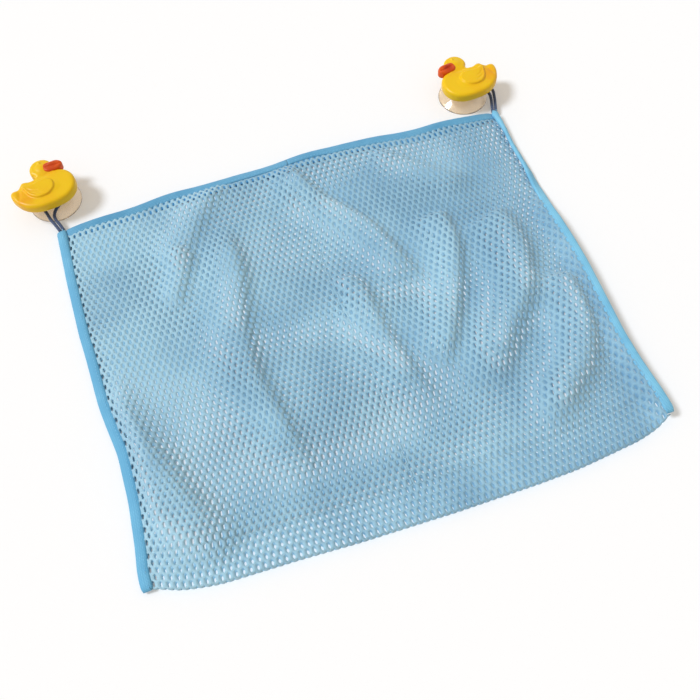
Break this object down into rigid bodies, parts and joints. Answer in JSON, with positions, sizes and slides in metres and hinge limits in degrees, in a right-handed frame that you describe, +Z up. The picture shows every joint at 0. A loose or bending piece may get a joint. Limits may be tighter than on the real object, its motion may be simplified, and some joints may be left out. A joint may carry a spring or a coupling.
{
  "type": "bath toy organizer",
  "caption": "Flat mesh bag with an open mouth that hangs on a smooth wall by suction cups, each with a moulded duck and tied to an upper corner by a cord loop.",
  "frame": {"origin": "on the surface that the bag lies on, under the middle of the whole object's box", "axes": "+X along the mouth of the bag to the right, +Y out of the mouth towards the ducks, +Z up from the surface"},
  "size_m": [0.4912, 0.4478, 0.0295],
  "materials": {
    "net": "fine knitted polyester net, matte, light blue",
    "tape": "woven binding tape, matte, bright blue",
    "cord": "braided elastic cord, matte, navy",
    "cup": "clear soft PVC, glossy",
    "duck": "moulded soft PVC, satin, golden yellow",
    "beak": "moulded soft PVC, satin, orange red"
  },
  "bodies": {
    "bag": {"back_net": "net", "net_fold": "net", "back_hem": "tape", "left_binding": "tape", "right_binding": "tape"},
    "front_panel": {"front_net": "net", "front_hem": "tape"},
    "left_loop": {"left_loop": "cord"},
    "right_loop": {"right_loop": "cord"},
    "left_duck": {"left_cup": "cup", "left_duck_body": "duck", "left_beak": "beak"},
    "right_duck": {"right_cup": "cup", "right_duck_body": "duck", "right_beak": "beak"}
  },
  "joints": [
    {"name": "mouth_open", "type": "hinge", "parent": "bag", "child": "front_panel", "pos_m": [0.01325, -0.19274, 0.0115], "axis": [1, 0, 0], "range_deg": [0, 12]},
    {"name": "left_loop_fold", "type": "hinge", "parent": "bag", "child": "left_loop", "pos_m": [-0.20975, 0.14991, 0.0055], "axis": [1, 0, 0], "range_deg": [-90, 30]},
    {"name": "right_loop_fold", "type": "hinge", "parent": "bag", "child": "right_loop", "pos_m": [0.23025, 0.14991, 0.0055], "axis": [1, 0, 0], "range_deg": [-90, 30]},
    {"name": "left_duck_swivel", "type": "hinge", "parent": "left_loop", "child": "left_duck", "pos_m": [-0.20995, 0.1916, 0.011], "axis": [0, 0, 1], "continuous": true},
    {"name": "right_duck_swivel", "type": "hinge", "parent": "right_loop", "child": "right_duck", "pos_m": [0.21045, 0.1846, 0.011], "axis": [0, 0, 1], "continuous": true}
  ]
}
